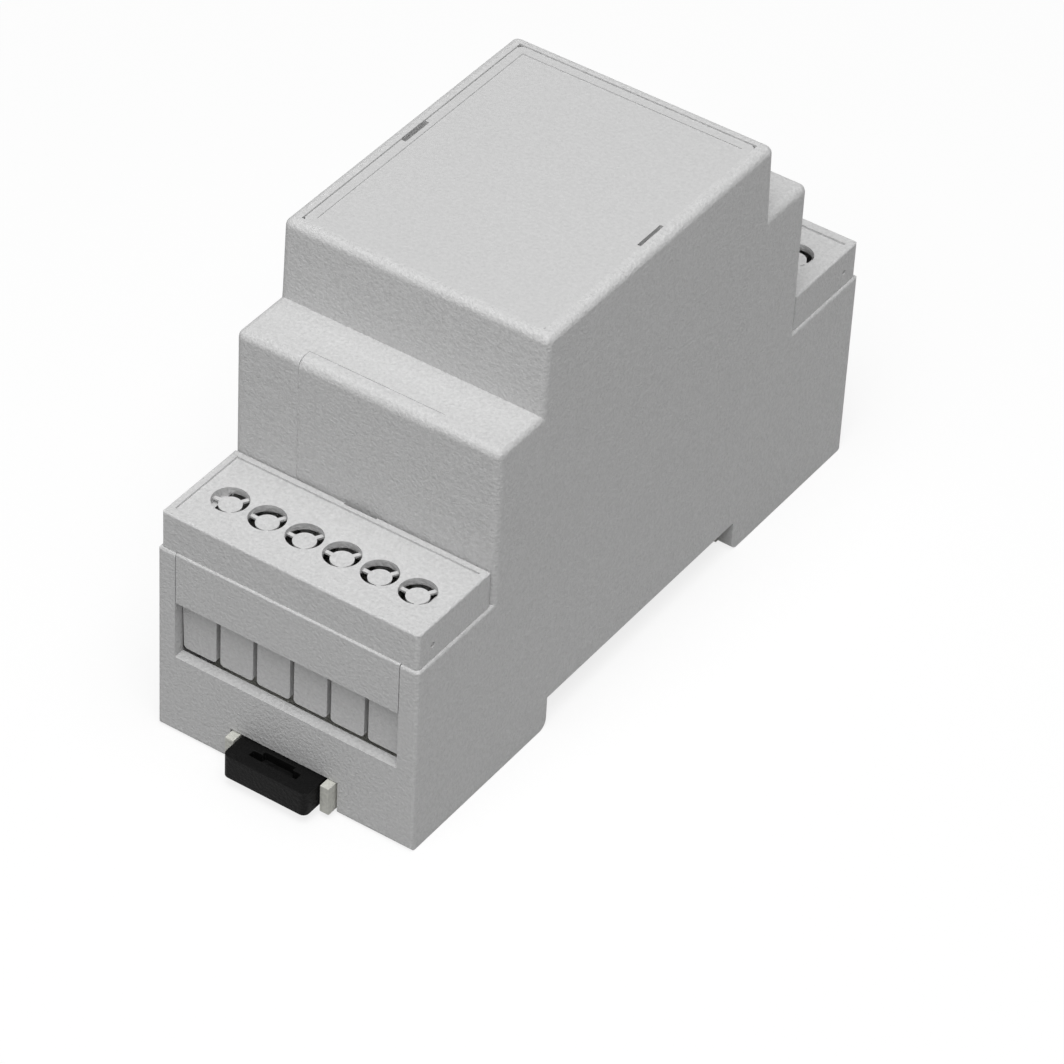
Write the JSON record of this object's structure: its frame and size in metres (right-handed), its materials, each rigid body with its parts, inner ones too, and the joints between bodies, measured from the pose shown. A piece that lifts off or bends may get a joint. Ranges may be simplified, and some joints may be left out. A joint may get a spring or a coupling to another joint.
{
  "type": "din rail enclosure",
  "caption": "Empty stepped plastic enclosure that clips to a top-hat rail, with a sprung rail latch, clip-on terminal covers with knock-outs and break-out tabs, and a snap-in front panel.",
  "frame": {"origin": "middle of the rail seat, on the face that lies against the front of the rail and over the rail's centre line", "axes": "+Z away from the rail towards the front panel, +X across the module along the rail, +Y from the latch end to the fixed-hook end"},
  "size_m": [0.0356, 0.0937, 0.0584],
  "materials": {
    "housing_plastic": "moulded light grey, fine even texture",
    "cover_plastic": "moulded light grey, fine even texture",
    "panel_plastic": "moulded light grey, fine even texture",
    "base_plastic": "moulded, cream grey, smooth",
    "latch_plastic": "moulded black, satin"
  },
  "bodies": {
    "enclosure": {"housing": "housing_plastic", "base": "base_plastic"},
    "front_panel": {"front_panel": "panel_plastic"},
    "front_cover": {"front_terminal_cover": "cover_plastic"},
    "rear_cover": {"rear_terminal_cover": "cover_plastic"},
    "latch": {"rail_latch": "latch_plastic"}
  },
  "joints": [
    {"name": "latch_slide", "type": "slide", "parent": "enclosure", "child": "latch", "axis": [0, -1, 0], "range_m": [0, 0.0034], "stiffness_N_per_m": 400, "springref_m": -0.002},
    {"name": "front_cover_lift", "type": "slide", "parent": "enclosure", "child": "front_cover", "axis": [0, 0, 1], "range_m": [0, 0.02]},
    {"name": "rear_cover_lift", "type": "slide", "parent": "enclosure", "child": "rear_cover", "axis": [0, 0, 1], "range_m": [0, 0.02]},
    {"name": "front_panel_lift", "type": "slide", "parent": "enclosure", "child": "front_panel", "axis": [0, 0, 1], "range_m": [0, 0.01]}
  ]
}
